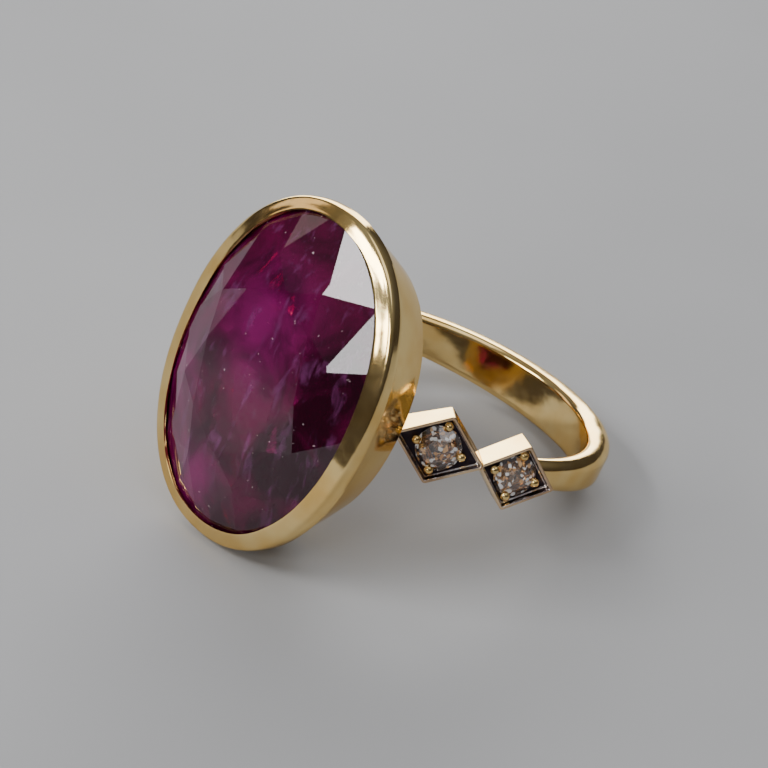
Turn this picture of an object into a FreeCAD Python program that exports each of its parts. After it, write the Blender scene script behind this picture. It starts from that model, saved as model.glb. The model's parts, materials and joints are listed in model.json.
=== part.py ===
"""Cocktail ring: an oval stone in a tapered bezel cup, lozenge collets on the shoulders, a tapered shank.

Ring frame: X points out through the stone, Y runs across the ring, Z is the finger axis, and the origin is
the centre of the finger hole. Every piece is built in that frame or in its collet's own frame. One rest
placement then lays the ring down on the rim of its bezel and the edge of its shank, with +Z up.
"""
import FreeCAD, Part
import Sketcher
import math
import os
from FreeCAD import Placement, Rotation, Vector

DIMENSIONS = {
    # finger hole and shank
    "finger_radius": 8.65,
    "shank_radius": 9.8,
    "shank_offset": 0.45,
    "shank_width": 3.0,
    "shank_end_width": 1.45,
    "shank_end_out": 2.2,
    "shank_rounding": 0.45,
    "finger_rounding": 0.32,
    "shank_reach": 12.5,
    # bezel cup, from its back edge to the lip over the stone
    "cup_back": 9.45,
    "cup_step": 12.95,
    "rim_edge": 13.75,
    "lip_height": 14.18,
    "back_across": 6.25,
    "back_along": 7.9,
    "wall_across": 7.42,
    "wall_along": 9.62,
    "rim_across": 7.62,
    "rim_along": 9.84,
    "lip_across": 6.6,
    "lip_along": 9.1,
    "lip_land": 0.2,
    # inside of the cup
    "plate_across": 5.65,
    "plate_along": 7.3,
    "plate_thickness": 0.6,
    "window_across": 3.7,
    "window_along": 5.2,
    "bearing_height": 12.5,
    "bearing_thickness": 0.8,
    "bearing_across": 6.9,
    "bearing_along": 9.15,
    "seat_across": 6.05,
    "seat_along": 8.3,
    "seat_flare": 0.33,
    "chamber_across": 7.06,
    "chamber_along": 9.42,
    "chamber_top": 13.86,
    "saddle_across": 5.4,
    "saddle_width": 2.4,
    "saddle_straight": 3.2,
    "saddle_end_width": 0.6,
    # main stone
    "stone_across": 7.02,
    "stone_along": 9.38,
    "girdle_height": 13.6,
    "girdle_thickness": 0.2,
    "crown_height": 1.7,
    "pavilion_depth": 3.2,
    # shoulder collets: corner points of the two front faces, across and out
    "head_corner_across": 5.85,
    "head_corner_out": 9.3,
    "middle_corner_across": 9.05,
    "middle_corner_out": 5.4,
    "shank_corner_across": 11.01,
    "shank_corner_out": 1.58,
    "head_half_height": 2.08,
    "shank_half_height": 2.0,
    "corner_overrun": 0.2,
    "collet_wall": 0.28,
    "collet_depth": 3.6,
    "collet_relief": 0.2,
    # seat plates, diamonds and grains
    "plate_recess": 0.45,
    "seat_plate_thickness": 0.7,
    "head_diamond_radius": 1.2,
    "shank_diamond_radius": 1.1,
    "diamond_lift": 0.05,
    "diamond_girdle": 0.06,
    "seat_hole_radius": 0.5,
    "grain_radius": 0.26,
    "grain_offset": 0.13,
    "grain_lift": 0.08,
}

# every brilliant: mains on each half, then radii as fractions of the girdle's
FOLD = 8
TABLE = 0.53
STAR = 0.7
LOWER = 0.28
ROUGH = 1.02

# heights of a diamond as fractions of its radius
DIAMOND_CROWN = 0.30
DIAMOND_PAVILION = 0.84

SIDES = ("right", "left")
STATIONS = ("head", "shank")

XY, XZ, YZ = "XY_Plane", "XZ_Plane", "YZ_Plane"


def make_sheet(doc):
    """Write the driving dimensions, one aliased cell to a row."""
    sheet = doc.addObject("Spreadsheet::Sheet", "dims")
    for row, (alias, value) in enumerate(DIMENSIONS.items(), start=1):
        sheet.set("A%d" % row, alias)
        sheet.set("B%d" % row, str(value))
        sheet.setAlias("B%d" % row, alias)
    doc.recompute()
    return sheet


def size(doc, alias):
    """The number that a cell of the sheet holds."""
    return float(getattr(doc.dims, alias))


# ---------------------------------------------------------------- placements

def rest_placement(doc):
    """The ring lying down: its rim and the rounded edge of its shank share one level plane."""
    rounding = size(doc, "shank_rounding")
    out = size(doc, "cup_step") + size(doc, "shank_radius") + size(doc, "shank_offset") - rounding
    low = size(doc, "rim_along") - size(doc, "shank_width") / 2 + rounding
    tilt = math.atan2(low, out) - math.asin(rounding / math.hypot(low, out))
    return Placement(Vector(0, 0, 0), Rotation(Vector(0, 1, 0), -math.degrees(tilt)))


def corner(doc, which):
    """A corner that the front faces of the collets share, in the ring frame."""
    return Vector(size(doc, which + "_corner_out"), size(doc, which + "_corner_across"), 0)


def collet_frame(start, end):
    """Collet frame: origin in the middle of the front face, X along it to the shank, Z straight out."""
    along = (end - start).normalize()
    up = Vector(0, 0, 1)
    return Placement((start + end) * 0.5, Rotation(along, up, along.cross(up), "XYZ"))


def side_placement(side):
    """The right shoulder is built in place, and the left one is turned half round the stone's axis."""
    turn = 0 if side == "right" else 180
    return Placement(Vector(0, 0, 0), Rotation(Vector(1, 0, 0), turn))


# ---------------------------------------------------------------- sketch and feature helpers

def add_body(doc, label):
    body = doc.addObject("PartDesign::Body", label)
    body.Label = label
    return body


def sketch_on(body, plane, name, lift=None):
    """A sketch on one of the body's own origin planes, lifted off it by an expression if one is given."""
    sketch = body.newObject("Sketcher::SketchObject", name)
    support = [p for p in body.Origin.OriginFeatures if p.Role == plane][0]
    sketch.AttachmentSupport = [(support, "")]
    sketch.MapMode = "FlatFace"
    if lift is not None:
        sketch.setExpression(".AttachmentOffset.Base.z", lift)
    return sketch


def constrain(sketch, kind, *arguments, expression=None):
    """Add one constraint, and bind its value to the sheet when an expression is given."""
    index = sketch.addConstraint(Sketcher.Constraint(kind, *arguments))
    if expression is not None:
        sketch.setExpression("Constraints[%d]" % index, expression)
    return index


def draw_ellipse(sketch, across, along, margin=None):
    """An upright ellipse about the sketch's origin, with half axes from two cells, and a margin's cell."""
    doc = sketch.Document
    wider = 0 if margin is None else size(doc, margin)
    extra = "" if margin is None else " + dims." + margin
    half_across = size(doc, across) + wider
    half_along = size(doc, along) + wider
    sketch.addGeometry(Part.Ellipse(Vector(0, half_along, 0), Vector(half_across, 0, 0), Vector(0, 0, 0)))
    sketch.exposeInternalGeometry(0)
    constrain(sketch, "Coincident", 0, 3, -1, 1)
    constrain(sketch, "Vertical", 1)
    constrain(sketch, "Distance", 1, 2 * half_along, expression="2 * (dims.%s%s)" % (along, extra))
    constrain(sketch, "Distance", 2, 2 * half_across, expression="2 * (dims.%s%s)" % (across, extra))


def draw_circle(sketch, radius, centre=(0.0, 0.0)):
    """A circle with its radius from an expression, at a fixed centre."""
    circle = Part.Circle(Vector(centre[0], centre[1], 0), Vector(0, 0, 1), 1)
    sketch.addGeometry(circle)
    constrain(sketch, "DistanceX", -1, 1, 0, 3, centre[0])
    constrain(sketch, "DistanceY", -1, 1, 0, 3, centre[1])
    constrain(sketch, "Radius", 0, 1, expression=radius)


def draw_polygon(sketch, points):
    """A closed outline, each corner held where it is given."""
    for index, point in enumerate(points):
        following = points[(index + 1) % len(points)]
        sketch.addGeometry(Part.LineSegment(Vector(*point, 0), Vector(*following, 0)))
    for index, point in enumerate(points):
        constrain(sketch, "Coincident", index, 2, (index + 1) % len(points), 1)
        constrain(sketch, "DistanceX", -1, 1, index, 1, point[0])
        constrain(sketch, "DistanceY", -1, 1, index, 1, point[1])


def draw_lozenge(sketch, half_length, half_height):
    """A lozenge with its corners on the sketch's axes; both halves come from expressions."""
    corners = [(1, 0), (0, 1), (-1, 0), (0, -1)]
    for index, point in enumerate(corners):
        following = corners[(index + 1) % 4]
        sketch.addGeometry(Part.LineSegment(Vector(*point, 0), Vector(*following, 0)))
    for index in range(4):
        constrain(sketch, "Coincident", index, 2, (index + 1) % 4, 1)
        axis = -1 if index % 2 == 0 else -2
        constrain(sketch, "PointOnObject", index, 1, axis)
    constrain(sketch, "DistanceX", -1, 1, 0, 1, 1, expression=half_length)
    constrain(sketch, "DistanceY", -1, 1, 1, 1, 1, expression=half_height)
    constrain(sketch, "DistanceX", 2, 1, -1, 1, 1, expression=half_length)
    constrain(sketch, "DistanceY", 3, 1, -1, 1, 1, expression=half_height)


def pad(body, sketch, length, name, reverse=False):
    feature = body.newObject("PartDesign::Pad", name)
    feature.Profile = sketch
    feature.setExpression("Length", length)
    feature.Reversed = reverse
    return feature


def pocket(body, sketch, name, length=None, reverse=False, midplane=False):
    """A pocket of an expression's depth, or one right through."""
    feature = body.newObject("PartDesign::Pocket", name)
    feature.Profile = sketch
    feature.Reversed = reverse
    if midplane:
        feature.SideType = "Symmetric"
    if length is None:
        feature.Type = "ThroughAll"
    else:
        feature.setExpression("Length", length)
    return feature


def loft(body, sketches, name, cut=False):
    kind = "PartDesign::SubtractiveLoft" if cut else "PartDesign::AdditiveLoft"
    feature = body.newObject(kind, name)
    feature.Profile = sketches[0]
    feature.Sections = sketches[1:]
    feature.Ruled = True
    return feature


def ellipse_at(body, name, lift, across, along, margin=None):
    """An ellipse in a plane square to the stone's axis, lifted to the height of an expression."""
    sketch = sketch_on(body, YZ, name, lift)
    draw_ellipse(sketch, across, along, margin)
    return sketch


# ---------------------------------------------------------------- bezel and what is in it

def build_bezel(doc):
    """The cup: a tapered wall, a collar at its rim, and a lip turned over the stone's edge."""
    body = add_body(doc, "bezel")
    back = ellipse_at(body, "wall_back", "dims.cup_back", "back_across", "back_along")
    step = ellipse_at(body, "wall_step", "dims.cup_step", "wall_across", "wall_along")
    loft(body, [back, step], "wall")
    collar = ellipse_at(body, "collar_outline", "dims.cup_step", "rim_across", "rim_along")
    pad(body, collar, "dims.rim_edge - dims.cup_step", "collar")
    edge = ellipse_at(body, "dome_foot", "dims.rim_edge", "rim_across", "rim_along")
    lip = ellipse_at(body, "dome_lip", "dims.lip_height", "lip_across", "lip_along", "lip_land")
    loft(body, [edge, lip], "dome")

    plate = ellipse_at(body, "plate_seat", "dims.cup_back", "plate_across", "plate_along")
    pocket(body, plate, "plate_hole", "dims.plate_thickness", reverse=True)
    cavity_floor = "dims.cup_back + dims.plate_thickness"
    low = ellipse_at(body, "cavity_low", cavity_floor, "plate_across", "plate_along")
    high = ellipse_at(body, "cavity_high", "dims.bearing_height", "bearing_across", "bearing_along")
    loft(body, [low, high], "cavity", cut=True)
    bearing = ellipse_at(body, "bearing_outline", "dims.bearing_height", "bearing_across", "bearing_along")
    pocket(body, bearing, "bearing_seat", "dims.bearing_thickness", reverse=True)
    chamber_floor = "dims.bearing_height + dims.bearing_thickness"
    chamber = ellipse_at(body, "chamber_outline", chamber_floor, "chamber_across", "chamber_along")
    chamber_depth = "dims.chamber_top - dims.bearing_height - dims.bearing_thickness"
    pocket(body, chamber, "girdle_chamber", chamber_depth, reverse=True)
    under = ellipse_at(body, "lip_under", "dims.chamber_top", "chamber_across", "chamber_along")
    over = ellipse_at(body, "lip_over", "dims.lip_height", "lip_across", "lip_along")
    loft(body, [under, over], "lip_mouth", cut=True)
    return body


def build_bearing(doc):
    """The ledge inside the cup that carries the stone just below its girdle."""
    body = add_body(doc, "bearing_ring")
    outline = ellipse_at(body, "ring_outline", "dims.bearing_height", "bearing_across", "bearing_along")
    pad(body, outline, "dims.bearing_thickness", "ring")
    low = ellipse_at(body, "seat_low", "dims.bearing_height", "seat_across", "seat_along")
    top = "dims.bearing_height + dims.bearing_thickness"
    high = ellipse_at(body, "seat_high", top, "seat_across", "seat_along", "seat_flare")
    loft(body, [low, high], "stone_seat", cut=True)
    return body


def build_base_plate(doc):
    """The plate that closes the cup's back round an open window."""
    body = add_body(doc, "base_plate")
    outline = ellipse_at(body, "plate_outline", "dims.cup_back", "plate_across", "plate_along")
    pad(body, outline, "dims.plate_thickness", "plate")
    window = ellipse_at(body, "window_outline", "dims.cup_back", "window_across", "window_along")
    pocket(body, window, "window", "dims.plate_thickness", reverse=True)
    return body


# ---------------------------------------------------------------- cut stones

def facet(points):
    return Part.Face(Part.makePolygon(points + points[:1]))


class Brilliant:
    """A brilliant about +Z, stretched to an oval: eight mains each side, an octagon table, and a point."""

    def __init__(self, across, along, girdle_low, girdle_high, crown, pavilion):
        self.across = across
        self.along = along
        self.table_height = girdle_high + crown
        self.culet_height = girdle_low - pavilion
        crown_slope = crown / (1 - TABLE)
        star_reach = STAR * math.cos(math.pi / FOLD)
        lower_reach = LOWER * math.cos(math.pi / FOLD)
        self.star_height = self.table_height - (star_reach - TABLE) * crown_slope
        self.lower_height = self.culet_height + lower_reach * pavilion
        self.top_edge = girdle_high - (ROUGH - 1) * crown_slope
        self.low_edge = girdle_low + (ROUGH - 1) * pavilion

    def point(self, radius, height, turn):
        """A point of the round cut at a half step of its circle, stretched to the oval."""
        angle = turn * math.pi / FOLD
        return Vector(radius * self.across * math.cos(angle), radius * self.along * math.sin(angle), height)

    def half(self, tips, apex_radius, apex_height, edge_height):
        """The kite mains and the girdle facets of one half; the apexes lie in the planes of the mains."""
        faces = []
        for turn in range(0, 2 * FOLD, 2):
            before = self.point(apex_radius, apex_height, turn - 1)
            after = self.point(apex_radius, apex_height, turn + 1)
            edge = self.point(ROUGH, edge_height, turn)
            faces.append(facet([tips[turn // 2], before, edge, after]))
            faces.append(facet([before, self.point(ROUGH, edge_height, turn - 1), edge]))
            faces.append(facet([after, edge, self.point(ROUGH, edge_height, turn + 1)]))
        return faces

    def rough(self):
        """The faceted stone before its girdle is rounded."""
        table = [self.point(TABLE, self.table_height, turn) for turn in range(0, 2 * FOLD, 2)]
        culet = [Vector(0, 0, self.culet_height)] * FOLD
        faces = [facet(table)]
        faces += self.half(table, STAR, self.star_height, self.top_edge)
        faces += self.half(culet, LOWER, self.lower_height, self.low_edge)
        for main in range(FOLD):
            star_tip = self.point(STAR, self.star_height, 2 * main + 1)
            faces.append(facet([table[main], table[(main + 1) % FOLD], star_tip]))
        for turn in range(2 * FOLD):
            upper = [self.point(ROUGH, self.top_edge, turn + step) for step in (0, 1)]
            under = [self.point(ROUGH, self.low_edge, turn + step) for step in (1, 0)]
            faces.append(facet(upper + under))
        shell = Part.makeShell(faces)
        shell.sewShape()
        solid = Part.makeSolid(shell)
        if solid.Volume < 0:
            solid.reverse()
        return solid

    def shape(self):
        """The finished stone: the rough one inside the prism of its girdle."""
        if self.along > self.across:
            outline = Part.Ellipse(Vector(0, self.along, 0), Vector(self.across, 0, 0), Vector(0, 0, 0))
        else:
            outline = Part.Circle(Vector(0, 0, 0), Vector(0, 0, 1), self.across)
        blank = Part.Face(Part.Wire(outline.toShape()))
        depth = self.table_height - self.culet_height
        blank.translate(Vector(0, 0, self.culet_height - depth))
        return self.rough().common(blank.extrude(Vector(0, 0, 3 * depth)))


def build_main_stone(doc):
    """The oval stone, its table well proud of the lip."""
    low = size(doc, "girdle_height")
    cut = Brilliant(size(doc, "stone_across"), size(doc, "stone_along"), low,
                    low + size(doc, "girdle_thickness"), size(doc, "crown_height"),
                    size(doc, "pavilion_depth"))
    stone = doc.addObject("Part::Feature", "main_stone")
    stone.Label = "main_stone"
    stone.Shape = cut.shape()
    return stone


# ---------------------------------------------------------------- band

def long_edges(doc, feature, outer):
    """The names of the edges that run all round the band, on its outside or round the finger hole."""
    doc.recompute()
    limit = size(doc, "finger_radius") + 0.5
    names = []
    for number, edge in enumerate(feature.Shape.Edges, start=1):
        middle = edge.valueAt((edge.FirstParameter + edge.LastParameter) / 2)
        outside = math.hypot(middle.x, middle.y) > limit
        if edge.Length > limit and outside == outer:
            names.append("Edge%d" % number)
    return names


def round_edges(body, feature, name, radius, edges):
    rounded = body.newObject("PartDesign::Fillet", name)
    rounded.Base = (feature, edges)
    rounded.setExpression("Radius", radius)
    return rounded


def build_shank(doc):
    """The open band, thickest and widest at the back; its ends are cut to the corners of the collets."""
    blank = add_body(doc, "shank_blank")
    outline = sketch_on(blank, XY, "shank_outline")
    draw_circle(outline, "dims.shank_radius", (-size(doc, "shank_offset"), 0))
    disc = pad(blank, outline, "dims.shank_width", "shank_disc")
    disc.Midplane = True
    finger = sketch_on(blank, XY, "shank_finger")
    draw_circle(finger, "dims.finger_radius")
    pocket(blank, finger, "shank_hole", midplane=True)

    reach = math.radians(size(doc, "shank_reach"))
    clear = 2 * size(doc, "shank_radius")
    end_out, end_across = clear * math.sin(reach), clear * math.cos(reach)
    opening = sketch_on(blank, XY, "shank_opening")
    draw_polygon(opening, [(0, 0), (end_out, -end_across), (clear, -end_across), (clear, end_across),
                           (end_out, end_across)])
    pocket(blank, opening, "shank_gap", midplane=True)

    back = -size(doc, "shank_radius") - size(doc, "shank_offset")
    end = size(doc, "shank_end_out")
    high = size(doc, "shank_width") / 2
    low = size(doc, "shank_end_width") / 2
    for name, turn in (("upper", 1), ("lower", -1)):
        sliver = sketch_on(blank, XZ, "shank_%s_sliver" % name)
        draw_polygon(sliver, [(back, turn * high), (end, turn * low), (end, turn * high)])
        tapered = pocket(blank, sliver, "shank_%s_taper" % name, midplane=True)

    outer_edges = long_edges(doc, tapered, outer=True)
    rounded = round_edges(blank, tapered, "shank_round", "dims.shank_rounding", outer_edges)
    finger_edges = long_edges(doc, rounded, outer=False)
    round_edges(blank, rounded, "shank_ease", "dims.finger_rounding", finger_edges)

    notches = doc.addObject("Part::MultiFuse", "shank_notches")
    notches.Shapes = [collet_envelope(doc, side, "shank") for side in SIDES]
    shank = doc.addObject("Part::Cut", "shank")
    shank.Label = "shank"
    shank.Base = blank
    shank.Tool = notches
    return shank


def build_saddle(doc):
    """The boat under the cup: flat to the base plate, hollow to the finger, ends cut to the collets."""
    blank = add_body(doc, "saddle_blank")
    low = "sqrt(dims.finger_radius ^ 2 - dims.saddle_across ^ 2)"
    plan = sketch_on(blank, YZ, "saddle_plan", low)
    reach = size(doc, "saddle_across")
    straight = size(doc, "saddle_straight")
    half = size(doc, "saddle_width") / 2
    end_half = size(doc, "saddle_end_width") / 2
    draw_polygon(plan, [(straight, half), (-straight, half), (-reach, end_half), (-reach, -end_half),
                        (-straight, -half), (straight, -half), (reach, -end_half), (reach, end_half)])
    pad(blank, plan, "dims.cup_back - " + low, "saddle_block")
    finger = sketch_on(blank, XY, "saddle_hollow")
    draw_circle(finger, "dims.finger_radius")
    pocket(blank, finger, "finger_hollow", midplane=True)

    notches = doc.addObject("Part::MultiFuse", "saddle_notches")
    notches.Shapes = [collet_envelope(doc, side, "head") for side in SIDES]
    saddle = doc.addObject("Part::Cut", "saddle")
    saddle.Label = "saddle"
    saddle.Base = blank
    saddle.Tool = notches
    return saddle


# ---------------------------------------------------------------- shoulder collets

def station_frame(doc, side, station):
    """Where a collet stands in the ring frame; station is head, beside the bezel, or shank."""
    middle = corner(doc, "middle")
    if station == "head":
        local = collet_frame(corner(doc, "head"), middle)
    else:
        local = collet_frame(middle, corner(doc, "shank"))
    return side_placement(side).multiply(local)


def half_length(doc, station):
    """Half the length of a collet's front face, from the corners that it joins."""
    other = "head" if station == "head" else "shank"
    return (corner(doc, other) - corner(doc, "middle")).Length / 2


def lozenge_halves(doc, station, wall=0.0):
    """Expressions for a lozenge's half length and half height, set in from the outside by a wall."""
    long_half = half_length(doc, station) + size(doc, "corner_overrun")
    high_half = size(doc, station + "_half_height")
    edge = math.hypot(long_half, high_half)
    length = "%.5f - %g * %.5f" % (long_half, wall, edge / high_half)
    height = "dims.%s_half_height - %g * %.5f" % (station, wall, edge / long_half)
    return length, height


def collet_envelope(doc, side, station):
    """The full outside of a collet, as the tool that notches its neighbours."""
    body = add_body(doc, "%s_%s_envelope" % (side, station))
    outline = sketch_on(body, XY, "%s_%s_envelope_outline" % (side, station))
    draw_lozenge(outline, *lozenge_halves(doc, station))
    pad(body, outline, "dims.collet_depth", "%s_%s_envelope_pad" % (side, station), reverse=True)
    body.Placement = station_frame(doc, side, station)
    return body


def finger_centre(doc, station):
    """The finger axis as seen from a collet: along its front face, and below it."""
    seen = station_frame(doc, "right", station).inverse().multVec(Vector(0, 0, 0))
    return seen.x, seen.z


def joint_wedge(doc, station):
    """What is planed off a collet's end so that it meets the other collet in the plane between them."""
    middle = corner(doc, "middle")
    first = collet_frame(corner(doc, "head"), middle).Rotation.multVec(Vector(0, 0, 1))
    second = collet_frame(middle, corner(doc, "shank")).Rotation.multVec(Vector(0, 0, 1))
    lean = math.tan(first.getAngle(second) / 2)
    end = half_length(doc, station)
    depth = size(doc, "collet_depth")
    beyond = end + depth
    wedge = [(end + depth * lean, depth), (end - depth * lean, -depth), (beyond, -depth), (beyond, depth)]
    if station == "shank":
        wedge = [(-along, out) for along, out in wedge]
    return wedge


def cup_wedge(doc):
    """What is filed off the head collet so that it sits flat under the cup's back edge."""
    frame = station_frame(doc, "right", "head").inverse()
    back = size(doc, "cup_back")
    across = size(doc, "head_corner_across")
    clear = size(doc, "collet_depth")
    corners = [(back, across + clear), (back, across - clear), (back + clear, across - clear)]
    seen = [frame.multVec(Vector(out, level, 0)) for out, level in corners]
    return [(point.x, point.z) for point in seen]


def build_collet(doc, side, station):
    """A lozenge frame: four thin walls from its front edge back to just short of the finger hole."""
    name = "%s_%s_collet" % (side, station)
    body = add_body(doc, name)
    outline = sketch_on(body, XY, name + "_outline")
    draw_lozenge(outline, *lozenge_halves(doc, station))
    pad(body, outline, "dims.collet_depth", name + "_block", reverse=True)
    inside = sketch_on(body, XY, name + "_inside")
    draw_lozenge(inside, *lozenge_halves(doc, station, size(doc, "collet_wall")))
    pocket(body, inside, name + "_hollow", "dims.collet_depth")
    finger = sketch_on(body, XZ, name + "_finger")
    draw_circle(finger, "dims.finger_radius + dims.collet_relief", finger_centre(doc, station))
    pocket(body, finger, name + "_back", midplane=True)
    wedges = [joint_wedge(doc, station)]
    if station == "head":
        wedges.append(cup_wedge(doc))
    for index, wedge in enumerate(wedges):
        sketch = sketch_on(body, XZ, "%s_wedge_%d" % (name, index))
        draw_polygon(sketch, wedge)
        pocket(body, sketch, "%s_end_%d" % (name, index), midplane=True)
    return body


def build_seat_plate(doc, side, station):
    """The plate that fills a collet below its front edge, with a countersunk hole for the diamond."""
    name = "%s_%s_seat_plate" % (side, station)
    body = add_body(doc, name)
    outline = sketch_on(body, XY, name + "_outline", "-dims.plate_recess")
    draw_lozenge(outline, *lozenge_halves(doc, station, size(doc, "collet_wall")))
    pad(body, outline, "dims.seat_plate_thickness", name + "_plate", reverse=True)
    hole = sketch_on(body, XY, name + "_hole_outline", "-dims.plate_recess")
    draw_circle(hole, "dims.seat_hole_radius")
    pocket(body, hole, name + "_hole", "dims.seat_plate_thickness")
    top = sketch_on(body, XY, name + "_sink_top", "-dims.plate_recess")
    draw_circle(top, "dims.%s_diamond_radius" % station)
    sink_depth = "%.5f * (dims.%s_diamond_radius - dims.seat_hole_radius)" % (DIAMOND_PAVILION, station)
    foot = sketch_on(body, XY, name + "_sink_foot", "-dims.plate_recess - " + sink_depth)
    draw_circle(foot, "dims.seat_hole_radius")
    loft(body, [top, foot], name + "_sink", cut=True)
    return body


def build_diamond(doc, side, station):
    """A small round brilliant with its girdle level with the top of the seat plate."""
    radius = size(doc, station + "_diamond_radius")
    low = size(doc, "diamond_lift") - size(doc, "plate_recess")
    cut = Brilliant(radius, radius, low, low + size(doc, "diamond_girdle"),
                    DIAMOND_CROWN * radius, DIAMOND_PAVILION * radius)
    stone = doc.addObject("Part::Feature", "%s_%s_diamond" % (side, station))
    stone.Label = stone.Name
    stone.Shape = cut.shape()
    return stone


def build_grains(doc, side, station):
    """Four beads raised from the seat plate round the diamond, towards the corners of the collet."""
    name = "%s_%s_grains" % (side, station)
    ring = "(dims.%s_diamond_radius + dims.grain_offset)" % station
    beads = []
    for index, (east, north) in enumerate([(1, 0), (0, 1), (-1, 0), (0, -1)]):
        bead = doc.addObject("Part::Sphere", "%s_bead_%d" % (name, index))
        bead.setExpression("Radius", "dims.grain_radius")
        bead.setExpression("Placement.Base.x", "%d * %s" % (east, ring))
        bead.setExpression("Placement.Base.y", "%d * %s" % (north, ring))
        bead.setExpression("Placement.Base.z", "dims.grain_lift - dims.plate_recess")
        beads.append(bead)
    together = doc.addObject("Part::MultiFuse", name + "_beads")
    together.Shapes = beads

    well = doc.addObject("Part::Cylinder", name + "_well")
    well.setExpression("Radius", "dims.%s_diamond_radius" % station)
    well.setExpression("Height", "2 * dims.collet_depth")
    well.setExpression("Placement.Base.z", "-dims.collet_depth")
    below = doc.addObject("Part::Box", name + "_below")
    for side_name, axis in (("Length", "x"), ("Width", "y")):
        below.setExpression(side_name, "2 * dims.collet_depth")
        below.setExpression("Placement.Base." + axis, "-dims.collet_depth")
    below.setExpression("Height", "dims.collet_depth")
    below.setExpression("Placement.Base.z", "-dims.collet_depth - dims.plate_recess")
    tools = doc.addObject("Part::MultiFuse", name + "_tools")
    tools.Shapes = [well, below]

    grains = doc.addObject("Part::Cut", name)
    grains.Label = name
    grains.Base = together
    grains.Tool = tools
    return grains


# ---------------------------------------------------------------- the whole ring

def build_ring(doc):
    """Every sub-part, each with its place in the ring frame."""
    upright = Placement()
    stone_axes = Rotation(Vector(0, 1, 0), Vector(0, 0, 1), Vector(1, 0, 0), "XYZ")
    placed = [(build_main_stone(doc), Placement(Vector(0, 0, 0), stone_axes))]
    for builder in (build_bezel, build_bearing, build_base_plate, build_saddle, build_shank):
        placed.append((builder(doc), upright))
    for side in SIDES:
        for station in STATIONS:
            frame = station_frame(doc, side, station)
            for builder in (build_collet, build_seat_plate, build_diamond, build_grains):
                placed.append((builder(doc, side, station), frame))
    return placed


def check(doc, parts):
    """Stop if any object failed to recompute or any sub-part isn't one sound shape."""
    failed = [o.Name for o in doc.Objects if "Invalid" in o.State or "Error" in o.State]
    unsound = [p.Label for p in parts if p.Shape.isNull() or not p.Shape.isValid() or p.Shape.Volume <= 0]
    if failed or unsound:
        raise RuntimeError("failed objects %s, unsound shapes %s" % (failed, unsound))


def main():
    doc = FreeCAD.newDocument("cocktail_ring")
    make_sheet(doc)
    placed = build_ring(doc)
    doc.recompute()
    rest = rest_placement(doc)
    for part, frame in placed:
        part.Placement = rest.multiply(frame)
    doc.recompute()
    parts = [part for part, _frame in placed]
    check(doc, parts)
    os.makedirs("parts", exist_ok=True)
    for part in parts:
        part.Shape.exportStep("parts/%s.step" % part.Label)
        print("%-26s %8.2f mm3, %d solids" % (part.Label, part.Shape.Volume, len(part.Shape.Solids)))


main()
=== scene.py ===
"""The looks of a cocktail ring: oval ruby in a gold bezel, blackened lozenge collets, tapered shank."""
import json
import math
import random

import bmesh
import bpy
from mathutils import Matrix, Vector


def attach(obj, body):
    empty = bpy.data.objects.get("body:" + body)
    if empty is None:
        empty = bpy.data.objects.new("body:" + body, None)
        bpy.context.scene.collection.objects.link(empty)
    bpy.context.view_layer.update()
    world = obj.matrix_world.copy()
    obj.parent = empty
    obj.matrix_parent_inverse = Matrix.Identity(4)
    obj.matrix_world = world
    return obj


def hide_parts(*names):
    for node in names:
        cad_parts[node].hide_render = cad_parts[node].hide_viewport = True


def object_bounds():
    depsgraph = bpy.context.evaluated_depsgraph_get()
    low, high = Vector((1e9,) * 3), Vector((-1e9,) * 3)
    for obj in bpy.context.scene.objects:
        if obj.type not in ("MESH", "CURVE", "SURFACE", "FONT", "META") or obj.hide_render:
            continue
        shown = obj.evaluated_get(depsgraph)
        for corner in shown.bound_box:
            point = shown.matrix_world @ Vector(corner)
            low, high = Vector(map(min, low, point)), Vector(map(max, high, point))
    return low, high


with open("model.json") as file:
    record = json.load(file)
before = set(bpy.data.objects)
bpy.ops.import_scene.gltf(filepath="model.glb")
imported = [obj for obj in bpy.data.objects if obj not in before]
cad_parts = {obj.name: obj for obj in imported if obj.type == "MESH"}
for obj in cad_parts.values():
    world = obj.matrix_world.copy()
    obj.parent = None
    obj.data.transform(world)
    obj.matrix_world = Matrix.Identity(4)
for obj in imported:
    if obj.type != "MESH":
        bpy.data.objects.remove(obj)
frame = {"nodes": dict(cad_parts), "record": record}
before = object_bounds()

# ------------------------------------------------------------------ sizes, in millimetres
# In the ring's frame: out through the stone, across the ring, and along the finger. Ovals and halves are
# half widths, and heights are measured out from the finger's axis.
MM = 0.001
FINGER = 8.65                   # radius of the finger hole

CUP_BACK = 9.45
WALL_TOP = 12.95
RIM_EDGE = 13.75
LIP = 14.18
BACK_OVAL = (6.25, 7.9)
PLATE_OVAL = (5.65, 7.3)
WALL_OVAL = (7.42, 9.62)
RIM_OVAL = (7.62, 9.84)
LIP_OVAL = (6.58, 9.05)
CHAMBER_OVAL = (7.02, 9.38)
FULLNESS = 2.16                 # exponent of the ovals: 2 is an ellipse
OVAL_STEPS = 240
CUP_FLOOR = 0.6                 # height of the inside's lowest edge above the cup's back
STEP_IN = -0.25                 # share of the way from wall to rim at which the fine step is cut in
FAINT_WAVER = 0.004             # how far hand finishing leaves each edge from a true oval
WAVER = 0.006
FACE_WAVER = 0.008
LIP_WAVER = 0.018

STONE_OVAL = (7.0, 9.36)
GIRDLE = (13.6, 13.8)
CROWN = 1.7
PAVILION = 3.2
STONE_UNEVENNESS = 0.04
STONE_SEED = 5

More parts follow.
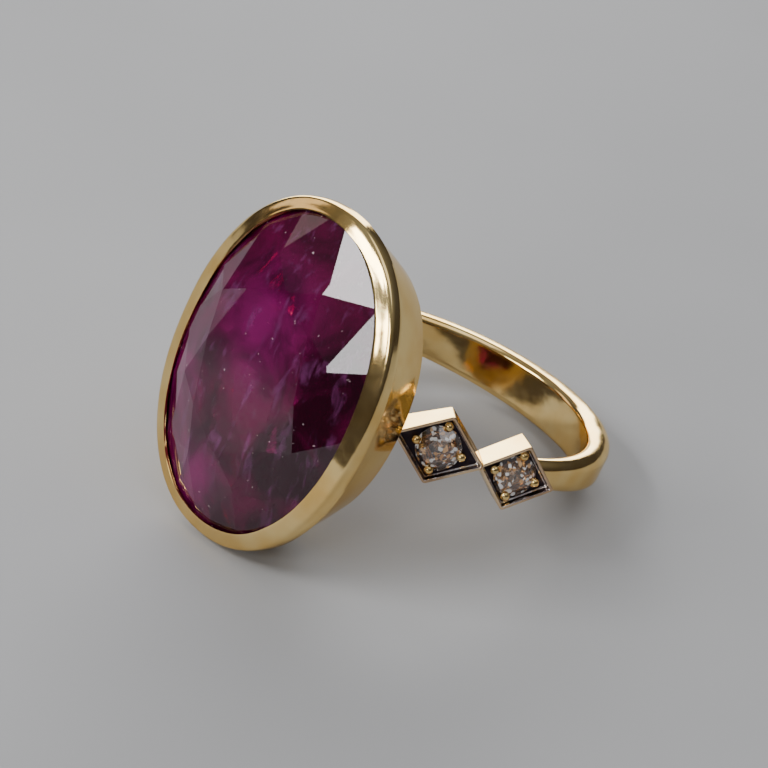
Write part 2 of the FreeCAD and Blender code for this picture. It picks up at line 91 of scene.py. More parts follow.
CORNERS = {"head": (5.85, 9.3), "middle": (9.05, 5.4), "shank": (11.01, 1.58)}      # across, out
HALF_HEIGHT = {"head": 2.08, "shank": 2.0}
OVERRUN = 0.2
COLLET_WALL = 0.28
COLLET_LIP = 0.16
COLLET_RELIEF = 0.2             # clearance of the collets' backs from the finger hole
COLLET_ROUNDING = 0.16
LIP_ROUNDING = 0.10
INSIDE_ROUNDING = 0.08
COLLET_EASE = 0.045             # width of the worn edge on every sharp corner of a collet
INSIDE_DRAFT = 0.04             # how far the inside closes in towards the plate
RECESS = 0.45                   # depth of the blackened plate under the collet's front face
PLATE = 0.7
SINK = 0.45                     # depth of the seat in the plate's middle
DIAMOND_RADIUS = {"head": 1.26, "shank": 1.17}
DIAMOND_GIRDLE = 0.06
DIAMOND_CROWN = 0.3             # shares of the diamond's radius
DIAMOND_PAVILION = 0.84
DIAMOND_UNEVENNESS = 0.05
DIAMOND_SEED = 3
GRAIN = 0.27
GRAIN_GAP = 0.07                # from the diamond's edge to the middle of a bead

SHANK_RADIUS = 9.8
SHANK_OFFSET = 0.45
SHANK_HALVES = ((-10.25, 1.5), (2.2, 0.725))        # half width at two places along the way out
SHANK_ROUNDING = 0.6
FINGER_ROUNDING = 0.4
SHANK_STEPS = 200
CORNER_STEPS = 8

SIDES = ("right", "left")
STATIONS = ("head", "shank")


# ------------------------------------------------------------------ frames

def ring_matrix():
    """From ring-frame millimetres (out, across, along) to row metres, read from the finger bore's axis."""
    bore = [m for m in frame["record"]["mounts"] if m["name"] == "finger_bore"][0]
    along = Vector(bore["axis"]).normalized()
    across = Vector((0, 1, 0))
    out = across.cross(along)
    turn = Matrix((out, across, along)).transposed().to_4x4()
    return Matrix.Translation(Vector(bore["pos_m"])) @ turn @ Matrix.Scale(MM, 4)


RING = ring_matrix()


def corner_point(name):
    across, out = CORNERS[name]
    return Vector((out, across, 0))


def station_matrix(side, station):
    """Collet frame to ring frame: X along the front face towards the shank, Z straight out of it."""
    ends = ("head", "middle") if station == "head" else ("middle", "shank")
    start, end = corner_point(ends[0]), corner_point(ends[1])
    along = (end - start).normalized()
    up = Vector((0, 0, 1))
    turn = Matrix((along, up, along.cross(up))).transposed().to_4x4()
    local = Matrix.Translation((start + end) / 2) @ turn
    return Matrix.Rotation(0 if side == "right" else math.pi, 4, "X") @ local


def half_length(station):
    other = "head" if station == "head" else "shank"
    return (corner_point(other) - corner_point("middle")).length / 2


# ------------------------------------------------------------------ mesh helpers

def add_mesh(name, bm, matrix, materials, sharp=30):
    """An object in row metres from a bmesh in millimetres, with edges over an angle left sharp."""
    bmesh.ops.recalc_face_normals(bm, faces=bm.faces)
    mesh = bpy.data.meshes.new(name)
    bm.to_mesh(mesh)
    bm.free()
    mesh.transform(RING @ matrix)
    for material in materials:
        mesh.materials.append(material)
    mesh.polygons.foreach_set("use_smooth", [True] * len(mesh.polygons))
    mesh.set_sharp_from_angle(angle=math.radians(sharp))
    piece = bpy.data.objects.new(name, mesh)
    bpy.context.scene.collection.objects.link(piece)
    return piece


def settle(piece, node):
    """The piece stands for a CAD node and rides with the ring."""
    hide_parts(node)
    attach(piece, "root")


def bridge(bm, first, second):
    """Quads between two closed rings of vertices; the faces made."""
    count = len(first)
    faces = []
    for index in range(count):
        following = (index + 1) % count
        faces.append(bm.faces.new((first[index], first[following], second[following], second[index])))
    return faces


def trim(bm, point, normal):
    """Cut away what lies beyond a plane and close the cut in the first material."""
    geometry = bm.verts[:] + bm.edges[:] + bm.faces[:]
    cut = bmesh.ops.bisect_plane(bm, geom=geometry, plane_co=point, plane_no=normal, clear_outer=True,
                                 dist=1e-6)
    edges = [item for item in cut["geom_cut"] if isinstance(item, bmesh.types.BMEdge)]
    if edges:
        made = bmesh.ops.holes_fill(bm, edges=edges)
        for face in made["faces"]:
            face.material_index = 0


def oval_point(halves, angle):
    """A point of a full oval: across and along."""
    reach = []
    for half, part in zip(halves, (math.cos(angle), math.sin(angle))):
        reach.append(half * math.copysign(abs(part) ** (2 / FULLNESS), part))
    return reach


def oval_ring(bm, halves, height, wobble, seed):
    """A ring of vertices on an oval that wavers by about the wobble."""
    ring = []
    for step in range(OVAL_STEPS):
        angle = 2 * math.pi * step / OVAL_STEPS
        across, along = oval_point(halves, angle)
        waver = wobble * (math.sin(3 * angle + seed) + 0.6 * math.sin(7 * angle + 2 * seed)
                          + 0.5 * math.sin(13 * angle + 5 * seed))
        scale = 1 + waver / halves[0]
        ring.append(bm.verts.new((height, across * scale, along * scale)))
    return ring


def oval_loft(bm, sections):
    """Skin a list of oval rings, each (halves, height, wobble), and join the last to the first."""
    rings = []
    for index, (halves, height, wobble) in enumerate(sections):
        rings.append(oval_ring(bm, halves, height, wobble, index))
    for first, second in zip(rings, rings[1:]):
        bridge(bm, first, second)
    bridge(bm, rings[-1], rings[0])


def between(first, second, share):
    """The pair that lies a share of the way from one pair to another."""
    return tuple(a + (b - a) * share for a, b in zip(first, second))


# ------------------------------------------------------------------ materials

BLACK = (0, 0, 0)
HALF = (0.5, 0.5, 0.5)
WHITE = (1, 1, 1)
# Centres and reaches, in millimetres, of the ruby's painted magenta glow.
MAGENTA_GLOW_ZONES = (((15.5, -0.5, 2.5), 5.5), ((14.6, -5.5, -3.0), 4.5), ((14.8, -1.5, -7.0), 4.0))


def new_material(name):
    material = bpy.data.materials.new(name)
    material.use_nodes = True
    shader = material.node_tree.nodes["Principled BSDF"]
    return material, material.node_tree, shader


def noise(tree, scale, detail=4.0, roughness=0.5, distortion=0.0, stretch=(1, 1, 1)):
    """Fractal noise in the object's own space, in features per millimetre; a small stretch draws it out."""
    place = tree.nodes.new("ShaderNodeTexCoord")
    draw = tree.nodes.new("ShaderNodeVectorMath")
    draw.operation = "MULTIPLY"
    draw.inputs[1].default_value = stretch
    tree.links.new(place.outputs["Object"], draw.inputs[0])
    texture = tree.nodes.new("ShaderNodeTexNoise")
    texture.inputs["Scale"].default_value = scale / MM
    texture.inputs["Detail"].default_value = detail
    texture.inputs["Roughness"].default_value = roughness
    texture.inputs["Distortion"].default_value = distortion
    tree.links.new(draw.outputs["Vector"], texture.inputs["Vector"])
    return texture.outputs["Fac"]


def ramp(tree, source, stops):
    """A colour ramp with stops of (place, colour)."""
    node = tree.nodes.new("ShaderNodeValToRGB")
    elements = node.color_ramp.elements
    while len(elements) < len(stops):
        elements.new(0.5)
    for element, (place, colour) in zip(elements, stops):
        element.position = place
        element.color = (*colour, 1.0)
    tree.links.new(source, node.inputs["Fac"])
    return node.outputs["Color"]


def spread(tree, source, low, high):
    """Map a 0 to 1 value onto a range."""
    node = tree.nodes.new("ShaderNodeMapRange")
    node.inputs["To Min"].default_value = low
    node.inputs["To Max"].default_value = high
    tree.links.new(source, node.inputs["Value"])
    return node.outputs["Result"]


def bump(tree, shader, source, strength, height):
    """Relief of a height in millimetres."""
    node = tree.nodes.new("ShaderNodeBump")
    node.inputs["Strength"].default_value = strength
    node.inputs["Distance"].default_value = height * MM
    tree.links.new(source, node.inputs["Height"])
    tree.links.new(node.outputs["Normal"], shader.inputs["Normal"])


def gold_material(name, deep, light, roughness):
    """Polished gold with soft wear: colour and gloss drift, and the surface waves faintly."""
    material, tree, shader = new_material(name)
    shader.inputs["Metallic"].default_value = 1.0
    shader.inputs["Specular Tint"].default_value = (0.95, 0.88, 0.72, 1.0)
    drift = noise(tree, 0.35, 3.0)
    tree.links.new(ramp(tree, drift, [(0.35, deep), (0.65, light)]), shader.inputs["Base Color"])
    wear = noise(tree, 1.6, 6.0, 0.6)
    tree.links.new(spread(tree, wear, *roughness), shader.inputs["Roughness"])
    bump(tree, shader, noise(tree, 0.5, 3.0, 0.3), 1.0, 0.05)
    return material


def near(tree, centre, reach):
    """1 at a point of the ring's frame and 0 beyond a reach, both in millimetres."""
    place = tree.nodes.new("ShaderNodeTexCoord")
    span = tree.nodes.new("ShaderNodeVectorMath")
    span.operation = "DISTANCE"
    span.inputs[1].default_value = RING @ Vector(centre)
    tree.links.new(place.outputs["Object"], span.inputs[0])
    fall = tree.nodes.new("ShaderNodeMapRange")
    fall.interpolation_type = "SMOOTHSTEP"
    fall.inputs["From Max"].default_value = reach * MM
    fall.inputs["To Min"].default_value = 1.0
    fall.inputs["To Max"].default_value = 0.0
    tree.links.new(span.outputs["Value"], fall.inputs["Value"])
    return fall.outputs["Result"]


def blend(tree, factor, first, second):
    """Mix two colours, each a socket or a constant."""
    node = tree.nodes.new("ShaderNodeMix")
    node.data_type = "RGBA"
    tree.links.new(factor, node.inputs["Factor"])
    for socket, colour in ((node.inputs[6], first), (node.inputs[7], second)):
        if isinstance(colour, tuple):
            socket.default_value = (*colour, 1.0)
        else:
            tree.links.new(colour, socket)
    return node.outputs[2]


def ruby_material():
    """Ruby: dark crimson, three magenta clouds of painted glow where light comes back out of the stone,
    drawn-out silk, and pale specks.
    """
    material, tree, shader = new_material("ruby")
    cloud = noise(tree, 0.30, 3.0, 0.55, 0.8)
    dark = ramp(tree, cloud, [(0.38, (0.036, 0.0, 0.011)), (0.62, (0.16, 0.0, 0.052))])
    # The lighter magenta ramp is painted glow of light coming back out of the stone; the darker crimson is
    # the stone's own colour.
    bright = ramp(tree, cloud, [(0.38, (0.12, 0.0, 0.055)), (0.62, (0.32, 0.006, 0.16))])
    colour = dark
    for centre, reach in MAGENTA_GLOW_ZONES:
        colour = blend(tree, near(tree, centre, reach), colour, bright)
    threads = noise(tree, 1.4, 3.0, 0.6, 0.4, (1, 1, 0.15))
    silk = ramp(tree, threads, [(0.56, BLACK), (0.70, HALF)])
    colour = blend(tree, silk, colour, (0.32, 0.07, 0.26))
    speck = ramp(tree, noise(tree, 3.2, 2.0), [(0.72, BLACK), (0.80, WHITE)])
    colour = blend(tree, speck, colour, (1.0, 0.80, 0.84))
    tree.links.new(colour, shader.inputs["Base Color"])
    shader.inputs["Roughness"].default_value = 0.02
    shader.inputs["IOR"].default_value = 1.62
    shader.inputs["Transmission Weight"].default_value = 0.5
    return material


def diamond_material():
    """Champagne diamond with painted sparkle in small patches: brown and orange painted flashes of facet
    reflection and fire, and white painted glints.
    """
    material, tree, shader = new_material("diamond")
    place = tree.nodes.new("ShaderNodeTexCoord")
    cells = tree.nodes.new("ShaderNodeTexVoronoi")
    cells.inputs["Scale"].default_value = 5.5 / MM
    tree.links.new(place.outputs["Object"], cells.inputs["Vector"])
    split = tree.nodes.new("ShaderNodeSeparateColor")
    tree.links.new(cells.outputs["Color"], split.inputs["Color"])
    # Brown cells tint the light that passes through. Their lighter and darker shades, and the orange and
    # white cells, are painted facet reflections, fire and glints.
    flashes = [(0.0, (0.20, 0.09, 0.04)), (0.40, (0.75, 0.44, 0.24)), (0.66, (0.92, 0.66, 0.44)),
               (0.67, (1.0, 0.48, 0.14)), (0.79, (1.0, 0.66, 0.34)), (0.80, (1.0, 0.98, 0.95))]
    tree.links.new(ramp(tree, split.outputs["Red"], flashes), shader.inputs["Base Color"])
    # The painted orange and white flashes are opaque; the brown cells let light through.
    painted_flash_mask = ramp(tree, split.outputs["Red"], [(0.66, BLACK), (0.67, HALF), (0.80, WHITE)])
    tree.links.new(spread(tree, painted_flash_mask, 0.95, 0.1), shader.inputs["Transmission Weight"])
    shader.inputs["Roughness"].default_value = 0.0
    shader.inputs["IOR"].default_value = 2.3
    return material


def blackened_material():
    """Gold gone black: a satin skin with a violet cast, and brown where it is rubbed thin."""
    material, tree, shader = new_material("blackened_gold")
    shader.inputs["Metallic"].default_value = 0.8
    patch = noise(tree, 1.8, 6.0, 0.65)
    colours = [(0.35, (0.018, 0.014, 0.024)), (0.6, (0.04, 0.025, 0.03)), (0.75, (0.16, 0.08, 0.04))]
    tree.links.new(ramp(tree, patch, colours), shader.inputs["Base Color"])
    tree.links.new(spread(tree, noise(tree, 3.0, 4.0), 0.22, 0.5), shader.inputs["Roughness"])
    bump(tree, shader, noise(tree, 5.0, 5.0, 0.6), 0.5, 0.04)
    return material


GOLD = gold_material("gold", (0.80, 0.52, 0.17), (0.93, 0.69, 0.30), (0.06, 0.18))
EDGE_GOLD = gold_material("edge_gold", (0.50, 0.32, 0.19), (0.92, 0.68, 0.42), (0.10, 0.28))
INNER_WALL = gold_material("inner_wall", (0.50, 0.42, 0.42), (0.95, 0.90, 0.88), (0.10, 0.25))
RUBY = ruby_material()
DIAMOND = diamond_material()
BLACKENED = blackened_material()


# ------------------------------------------------------------------ bezel

def build_bezel():
    """Tapered wall, a fine step, the collar, its domed face, and the lip turned over the stone."""
    bm = bmesh.new()
    sections = [
        (PLATE_OVAL, CUP_BACK + 0.05, 0.0),
        (between(PLATE_OVAL, BACK_OVAL, 0.15), CUP_BACK, 0.0),
        (between(PLATE_OVAL, BACK_OVAL, 0.8), CUP_BACK, 0.0),
        (between(BACK_OVAL, WALL_OVAL, 0.01), CUP_BACK + 0.05, FAINT_WAVER),
        (between(BACK_OVAL, WALL_OVAL, 0.05), CUP_BACK + 0.2, FAINT_WAVER),
    ]
    for share in (0.2, 0.35, 0.5, 0.65, 0.8, 0.92, 0.985):
        height = CUP_BACK + (WALL_TOP - CUP_BACK) * share
        swell = 0.05 * math.sin(math.pi * share)
        halves = between(BACK_OVAL, WALL_OVAL, share)
        sections.append(((halves[0] + swell, halves[1] + swell), height, WAVER))
    sections += [
        (between(WALL_OVAL, RIM_OVAL, STEP_IN), WALL_TOP - 0.02, WAVER),
        (between(WALL_OVAL, RIM_OVAL, STEP_IN), WALL_TOP + 0.02, WAVER),
        (between(WALL_OVAL, RIM_OVAL, 0.7), WALL_TOP + 0.05, WAVER),
        (between(WALL_OVAL, RIM_OVAL, 0.97), WALL_TOP + 0.12, WAVER),
        (between(WALL_OVAL, RIM_OVAL, 1.0), WALL_TOP + 0.35, WAVER),
        (between(WALL_OVAL, RIM_OVAL, 0.98), RIM_EDGE - 0.16, WAVER),
        (between(RIM_OVAL, LIP_OVAL, 0.02), RIM_EDGE - 0.05, WAVER),
        (between(RIM_OVAL, LIP_OVAL, 0.06), RIM_EDGE + 0.04, WAVER),
    ]
    for share in (0.13, 0.25, 0.4, 0.55, 0.7, 0.82, 0.92):
        rise = (LIP - RIM_EDGE) * (0.12 + 0.94 * share - 0.05 * share ** 2)
        sections.append((between(RIM_OVAL, LIP_OVAL, share), RIM_EDGE + rise, FACE_WAVER))
    sections += [
        (between(RIM_OVAL, LIP_OVAL, 0.985), LIP - 0.02, 0.016),
        (LIP_OVAL, LIP - 0.08, LIP_WAVER),
        (between(LIP_OVAL, CHAMBER_OVAL, 0.03), LIP - 0.18, LIP_WAVER),
        (between(LIP_OVAL, CHAMBER_OVAL, 0.9), LIP - 0.32, 0.0),
        (CHAMBER_OVAL, RIM_EDGE - 0.4, 0.0),
        (between(PLATE_OVAL, CHAMBER_OVAL, 0.15), CUP_BACK + CUP_FLOOR + 0.1, 0.0),
        (PLATE_OVAL, CUP_BACK + CUP_FLOOR, 0.0),
    ]
    oval_loft(bm, sections)
    piece = add_mesh("bezel_cup", bm, Matrix.Identity(4), [GOLD], 40)
    settle(piece, "bezel")


# ------------------------------------------------------------------ cut stones

class Cut:
    """A brilliant about +Z, as the planes that a cutter lays on, stretched to an oval.

    TABLE, STAR and LOWER are the reach of the facets' corners as shares of the girdle's.
    """

    FOLD = 8
    TABLE = 0.53
    STAR = 0.7
    LOWER = 0.28

    def __init__(self, halves, girdle, crown, pavilion, unevenness, seed):
        self.halves = halves
        self.girdle = girdle
        self.crown = crown
        self.pavilion = pavilion
        self.unevenness = unevenness
        self.chance = random.Random(seed)

    def point(self, radius, height, turn):
        angle = turn * math.pi / self.FOLD
        return Vector((radius * self.halves[0] * math.cos(angle), radius * self.halves[1] * math.sin(angle),
                       height))

    def jitter(self):
        return self.chance.uniform(-self.unevenness, self.unevenness)

    def planes(self):
        """Each facet as three of its points; the first is pushed in or out by the cutter's unevenness."""
        low, high = self.girdle
        slope = self.crown / (1 - self.TABLE)
        table_height = high + self.crown
        star_height = table_height - (self.STAR * math.cos(math.pi / self.FOLD) - self.TABLE) * slope
        culet = low - self.pavilion
        lower_height = culet + self.LOWER * math.cos(math.pi / self.FOLD) * self.pavilion
        planes = [(self.point(1, table_height, 0), self.point(1, table_height, 3),
                   self.point(1, table_height, 6))]
        for turn in range(0, 2 * self.FOLD, 2):
            lift = self.jitter()
            inner = self.point(self.TABLE, table_height + lift, turn)
            star_before = self.point(self.STAR, star_height + lift, turn - 1)
            star_after = self.point(self.STAR, star_height + lift, turn + 1)
            planes.append((inner, star_before, star_after))
            following = self.point(self.TABLE, table_height, turn + 2)
            planes.append((self.point(self.TABLE, table_height, turn), following, star_after))
            for way in (-1, 1):
                edge = self.point(1, high + self.jitter(), turn)
                beside = self.point(1, high, turn + way)
                planes.append((edge, beside, self.point(self.STAR, star_height, turn + way)))
                under = self.point(1, low, turn)
                beside = self.point(1, low, turn + way)
                planes.append((under, beside, self.point(self.LOWER, lower_height, turn + way)))
            planes.append((Vector((0, 0, culet)), self.point(self.LOWER, lower_height, turn - 1),
                           self.point(self.LOWER, lower_height, turn + 1)))
        return planes

    def mesh(self, steps=160):
        """A prism of the girdle's outline, cut down by every plane in turn."""
        bm = bmesh.new()
        low, high = self.girdle
        middle = Vector((0, 0, (low + high) / 2))
        rings = []
        for height in (low - 1.05 * self.pavilion, high + 1.05 * self.crown):
            ring = []
            for step in range(steps):
                across, along = oval_point(self.halves, 2 * math.pi * step / steps)
                ring.append(bm.verts.new((across, along, height)))
            rings.append(ring)
            bm.faces.new(ring)
        bridge(bm, *rings)
        for first, second, third in self.planes():
            normal = (second - first).cross(third - first).normalized()
            if normal.dot(first - middle) < 0:
                normal.negate()
            trim(bm, first, normal)
        return bm


STONE_AXES = Matrix(((0, 0, 1, 0), (1, 0, 0, 0), (0, 1, 0, 0), (0, 0, 0, 1)))


def build_ruby():
    cut = Cut(STONE_OVAL, GIRDLE, CROWN, PAVILION, STONE_UNEVENNESS, STONE_SEED)
    piece = add_mesh("ruby", cut.mesh(), STONE_AXES, [RUBY], 2)
    settle(piece, "main_stone")


def build_diamond(side, station):
    radius = DIAMOND_RADIUS[station]
    low = 0.05 - RECESS
    seed = DIAMOND_SEED + 2 * STATIONS.index(station) + SIDES.index(side)
    cut = Cut((radius, radius), (low, low + DIAMOND_GIRDLE), DIAMOND_CROWN * radius,
              DIAMOND_PAVILION * radius, DIAMOND_UNEVENNESS, seed)
    name = "%s_%s_diamond" % (side, station)
    piece = add_mesh(name + "_cut", cut.mesh(64), station_matrix(side, station), [DIAMOND], 2)
    settle(piece, name)


# ------------------------------------------------------------------ collets

def lozenge(station, wall=0.0):
    """Half length and half height of a collet's outline, set in by a wall."""
    long_half = half_length(station) + OVERRUN
    high_half = HALF_HEIGHT[station]
    edge = math.hypot(long_half, high_half)
    return long_half - wall * edge / high_half, high_half - wall * edge / long_half


def lozenge_outline(halves, rounding, steps=5):
    """The corners of a lozenge, each eased by a small curve."""
    corners = [Vector((halves[0], 0)), Vector((0, halves[1])), Vector((-halves[0], 0)),
               Vector((0, -halves[1]))]
    outline = []
    for index, corner in enumerate(corners):
        to_last = (corners[index - 1] - corner).normalized() * rounding
        to_next = (corners[(index + 1) % 4] - corner).normalized() * rounding
        for step in range(steps + 1):
            share = step / steps
            outline.append(corner + to_last * (1 - share) ** 2 + to_next * share ** 2)
    return outline


def finger_height(station, along):
    """Height in a collet's frame of its hollowed back under a point of its front face."""
    centre = station_matrix("right", station).inverted() @ Vector((0, 0, 0))
    return centre.z + math.sqrt((FINGER + COLLET_RELIEF) ** 2 - (along - centre.x) ** 2)


def joint_plane(station):
    """Where the two collets of a shoulder meet: a point and the way out, in the collet's frame."""
    frames = [station_matrix("right", name) for name in STATIONS]
    lean = frames[0].col[2].to_3d().angle(frames[1].col[2].to_3d()) / 2
    way = 1 if station == "head" else -1
    return Vector((way * half_length(station), 0, 0)), Vector((way * math.cos(lean), 0, -math.sin(lean)))


def build_collet(side, station):
    """Four thin walls: a narrow rubbed edge in front, a steep bright inside, hollowed at the back."""
    bm = bmesh.new()
    outer = lozenge_outline(lozenge(station), COLLET_ROUNDING)
    lip = lozenge_outline(lozenge(station, COLLET_LIP), LIP_ROUNDING)
    foot = lozenge_outline(lozenge(station, COLLET_LIP + INSIDE_DRAFT), LIP_ROUNDING)
    inner = lozenge_outline(lozenge(station, COLLET_WALL), INSIDE_ROUNDING)
    rings = [[bm.verts.new((p.x, p.y, finger_height(station, p.x))) for p in outer],
             [bm.verts.new((p.x, p.y, 0)) for p in outer],
             [bm.verts.new((p.x, p.y, 0)) for p in lip],
             [bm.verts.new((p.x, p.y, 0.08 - RECESS)) for p in foot],
             [bm.verts.new((p.x, p.y, 0.04 - RECESS)) for p in inner],
             [bm.verts.new((p.x, p.y, finger_height(station, p.x))) for p in inner]]
    gold, inside, edge = range(3)
    for index, finish in enumerate((gold, edge, inside, inside, inside, gold)):
        for face in bridge(bm, rings[index], rings[(index + 1) % len(rings)]):
            face.material_index = finish
    point, normal = joint_plane(station)
    trim(bm, point, normal)
    if station == "head":
        into = station_matrix("right", station).inverted()
        cup_corner = into @ Vector((CUP_BACK, CORNERS["head"][0], 0))
        trim(bm, cup_corner, into.to_3x3() @ Vector((1, 0, 0)))
    name = "%s_%s_collet" % (side, station)
    piece = add_mesh(name + "_frame", bm, station_matrix(side, station), [GOLD, INNER_WALL, EDGE_GOLD])
    soften(piece, COLLET_EASE)
    settle(piece, name)


def soften(piece, width):
    """Round every sharp edge by a width in millimetres."""
    bevel = piece.modifiers.new("soften", "BEVEL")
    bevel.width = width * MM
    bevel.segments = 3
    bevel.limit_method = "ANGLE"
    bevel.angle_limit = math.radians(35)


def build_seat_plate(side, station):
    """The blackened plate in the collet, dished a little, with the diamond's seat in its middle."""
    bm = bmesh.new()
    outline = lozenge_outline(lozenge(station, COLLET_WALL - 0.02), LIP_ROUNDING)
    radius = DIAMOND_RADIUS[station]
    rings = [[bm.verts.new((p.x, p.y, -RECESS)) for p in outline]]
    for share, drop in ((0.35, 0.05), (0.75, 0.03), (1.0, 0.0)):
        ring = []
        for p in outline:
            seat = p.normalized() * radius * 0.97
            q = p.lerp(seat, share)
            ring.append(bm.verts.new((q.x, q.y, -RECESS - drop)))
        rings.append(ring)
    sink = [bm.verts.new((0.5 * v.co.x, 0.5 * v.co.y, -RECESS - SINK)) for v in rings[-1]]
    foot = [bm.verts.new((v.co.x, v.co.y, -RECESS - PLATE)) for v in sink]
    base = [bm.verts.new((p.x, p.y, -RECESS - PLATE)) for p in outline]
    rings += [sink, foot, base]
    for first, second in zip(rings, rings[1:]):
        for face in bridge(bm, first, second):
            face.material_index = int(second is sink)
    bridge(bm, rings[-1], rings[0])
    name = "%s_%s_seat_plate" % (side, station)
    piece = add_mesh(name + "_dished", bm, station_matrix(side, station), [BLACKENED, GOLD], 50)
    settle(piece, name)


def build_grains(side, station):
    """Four round beads leaning on the diamond's edge."""
    bm = bmesh.new()
    reach = DIAMOND_RADIUS[station] + GRAIN_GAP
    for east, north in ((1, 0), (0, 1), (-1, 0), (0, -1)):
        place = Matrix.Translation((east * reach, north * reach, 0.1 - RECESS))
        bmesh.ops.create_uvsphere(bm, u_segments=28, v_segments=18, radius=GRAIN, matrix=place)
    name = "%s_%s_grains" % (side, station)
    piece = add_mesh(name + "_beads", bm, station_matrix(side, station), [GOLD])
    settle(piece, name)


# ------------------------------------------------------------------ shank

def shank_section(thick, half):
    """Section of the band as (out from the finger, along the finger), every corner eased."""
    corners = [(FINGER_ROUNDING, -half + FINGER_ROUNDING, FINGER_ROUNDING, math.pi),
               (thick - SHANK_ROUNDING, -half + SHANK_ROUNDING, SHANK_ROUNDING, 1.5 * math.pi),
               (thick - SHANK_ROUNDING, half - SHANK_ROUNDING, SHANK_ROUNDING, 0.0),
               (FINGER_ROUNDING, half - FINGER_ROUNDING, FINGER_ROUNDING, 0.5 * math.pi)]
    outline = []
    for out, along, rounding, start in corners:
        for step in range(CORNER_STEPS + 1):
            angle = start + step / CORNER_STEPS * math.pi / 2
            outline.append((out + rounding * math.cos(angle), along + rounding * math.sin(angle)))
    return outline


def shank_point(angle, index):
    """Point of the band's skin at an angle from the way out, on one line of its section."""
    sideways = SHANK_OFFSET * math.sin(angle)
    outer = math.sqrt(SHANK_RADIUS ** 2 - sideways ** 2) - SHANK_OFFSET * math.cos(angle)
    (back, back_half), (end, end_half) = SHANK_HALVES
    share = (FINGER * math.cos(angle) - back) / (end - back)
    depth, along = shank_section(outer - FINGER, back_half + (end_half - back_half) * share)[index]
    return Vector(((FINGER + depth) * math.cos(angle), (FINGER + depth) * math.sin(angle), along))


def shank_end(index):
    """Angle at which one line of the band's skin meets the middle of the collet's wall."""
    into = station_matrix("right", "shank").inverted()
    halves = lozenge("shank", COLLET_WALL / 2)
    low, high = math.radians(60), math.radians(120)
    for _ in range(40):
        middle = (low + high) / 2
        seen = into @ shank_point(middle, index)
        inside = seen.x / halves[0] + abs(seen.y) / halves[1] < 1
        low, high = (middle, high) if inside else (low, middle)
    return high


def build_shank():
    """The band, swept round the finger and let into the corners of the collets."""
    bm = bmesh.new()
    lines = []
    for index in range(len(shank_section(1, 1))):
        start = shank_end(index)
        line = []
        for step in range(SHANK_STEPS + 1):
            angle = start + 2 * (math.pi - start) * step / SHANK_STEPS
            line.append(bm.verts.new(shank_point(angle, index)))
        lines.append(line)
    rings = [list(ring) for ring in zip(*lines)]
    for first, second in zip(rings, rings[1:]):
        bridge(bm, first, second)
    bm.faces.new(rings[0])
    bm.faces.new(rings[-1])
    piece = add_mesh("shank_band", bm, Matrix.Identity(4), [GOLD], 40)
    settle(piece, "shank")


# ------------------------------------------------------------------ stage
# Metres and degrees, in the row's frame; the lens and the sensor are in millimetres.

FLOOR_SIZE = 1.0
FLOOR_GAP = 0.00002
WARM = (1.0, 0.84, 0.72)
NEUTRAL = (1, 1, 1)
# Name, azimuth, elevation, distance, width, height, power, colour.
SOFTBOXES = (
    ("crown", -20, 43.5, 0.4, 0.22, 0.055, 0.62, NEUTRAL),
    ("rim_upper", -25, 34, 0.4, 0.15, 0.045, 0.37, NEUTRAL),
    ("rim_lower", -3, 23.5, 0.4, 0.065, 0.06, 0.2, NEUTRAL),
    ("shoulder", 19, 29, 0.4, 0.085, 0.085, 0.26, NEUTRAL),
    ("window", -124.5, 13, 0.4, 0.36, 0.26, 2.1, NEUTRAL),
    ("side", -66, 22, 0.4, 0.08, 0.20, 0.06, WARM),
    ("overhead", 120, 75, 0.6, 0.5, 0.5, 0.9, NEUTRAL),
)
VIEW_TARGET = (0.002263, -0.002112, -0.000215)
VIEW_AZIMUTH = 44.525
VIEW_ELEVATION = 31.667
VIEW_ROLL = 10.956
VIEW_DISTANCE = 0.234872
LENS = 197.58
SENSOR = 36.0


def add_floor():
    """A plain pale floor under the ring."""
    bm = bmesh.new()
    bmesh.ops.create_grid(bm, x_segments=1, y_segments=1, size=FLOOR_SIZE)
    mesh = bpy.data.meshes.new("floor")
    bm.to_mesh(mesh)
    bm.free()
    material, tree, shader = new_material("floor")
    tone = ramp(tree, noise(tree, 0.02, 3.0), [(0.3, (0.36, 0.36, 0.365)), (0.7, (0.41, 0.41, 0.415))])
    tree.links.new(tone, shader.inputs["Base Color"])
    shader.inputs["Roughness"].default_value = 0.75
    mesh.materials.append(material)
    floor = bpy.data.objects.new("floor", mesh)
    floor.location.z = before[0][2] - FLOOR_GAP
    bpy.context.scene.collection.objects.link(floor)


def direction(azimuth, elevation):
    """A unit vector, azimuth from +X towards +Y, in degrees."""
    turn, rise = math.radians(azimuth), math.radians(elevation)
    return Vector((math.cos(rise) * math.cos(turn), math.cos(rise) * math.sin(turn), math.sin(rise)))


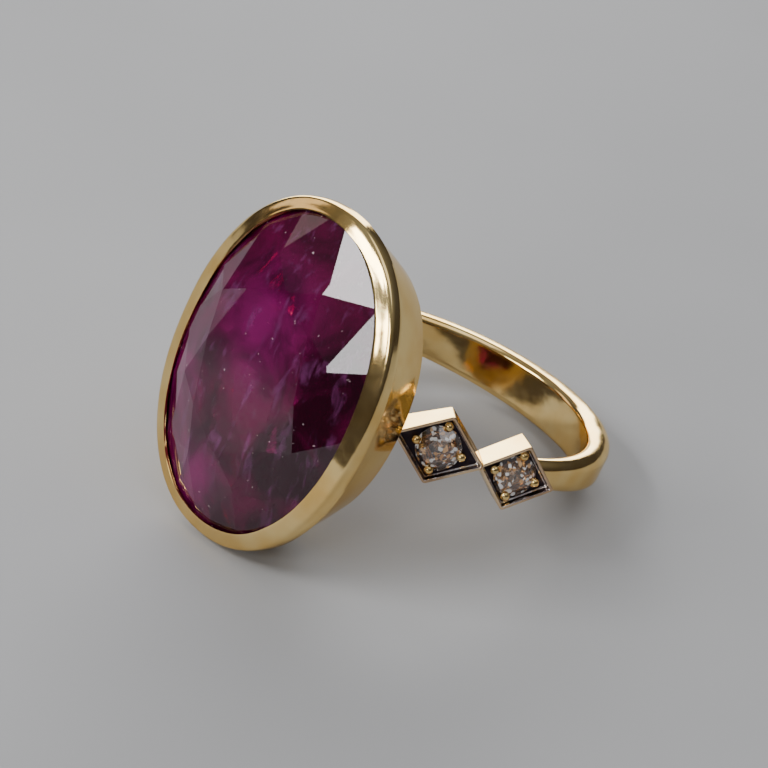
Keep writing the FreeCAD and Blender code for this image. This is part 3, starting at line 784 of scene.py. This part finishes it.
def add_softbox(name, azimuth, elevation, distance, width, height, power, colour):
    """A rectangular light facing the ring."""
    light = bpy.data.lights.new(name, "AREA")
    light.shape = "RECTANGLE"
    light.size = width
    light.size_y = height
    light.energy = power
    light.color = colour
    box = bpy.data.objects.new(name, light)
    toward = direction(azimuth, elevation)
    box.location = toward * distance
    box.rotation_euler = toward.to_track_quat("Z", "Y").to_euler()
    bpy.context.scene.collection.objects.link(box)


def add_lights():
    """The softboxes, which the stone, the rim and the collets reflect towards the view, and a dim sky."""
    for softbox in SOFTBOXES:
        add_softbox(*softbox)
    world = bpy.data.worlds.new("studio")
    world.use_nodes = True
    tree = world.node_tree
    place = tree.nodes.new("ShaderNodeTexCoord")
    split = tree.nodes.new("ShaderNodeSeparateXYZ")
    tree.links.new(place.outputs["Generated"], split.inputs["Vector"])
    sky = ramp(tree, split.outputs["Z"], [(0.0, (0.05, 0.045, 0.05)), (0.3, (0.07, 0.07, 0.08)),
                                         (1.0, (0.30, 0.31, 0.33))])
    tree.links.new(sky, tree.nodes["Background"].inputs["Color"])
    bpy.context.scene.world = world


def add_camera():
    """The view: from the stone's right and above, with a long lens, a little tilted."""
    camera = bpy.data.cameras.new("camera")
    camera.sensor_width = SENSOR
    camera.lens = LENS
    camera.clip_start = 0.01
    camera.clip_end = 10.0
    rig = bpy.data.objects.new("camera", camera)
    toward = direction(VIEW_AZIMUTH, VIEW_ELEVATION)
    rig.location = Vector(VIEW_TARGET) + toward * VIEW_DISTANCE
    level = toward.to_track_quat("Z", "Y").to_matrix()
    rig.rotation_euler = (level @ Matrix.Rotation(math.radians(VIEW_ROLL), 3, "Z")).to_euler()
    bpy.context.scene.collection.objects.link(rig)
    bpy.context.scene.camera = rig


# ------------------------------------------------------------------ the ring

def finish_plain_nodes():
    """The gold pieces inside and behind the cup keep their CAD shapes."""
    for node in ("bearing_ring", "base_plate", "saddle"):
        shape = frame["nodes"][node]
        shape.data.materials.clear()
        shape.data.materials.append(GOLD)


add_camera()
build_bezel()
build_ruby()
build_shank()
for side in SIDES:
    for station in STATIONS:
        build_collet(side, station)
        build_seat_plate(side, station)
        build_diamond(side, station)
        build_grains(side, station)
finish_plain_nodes()
add_floor()
add_lights()
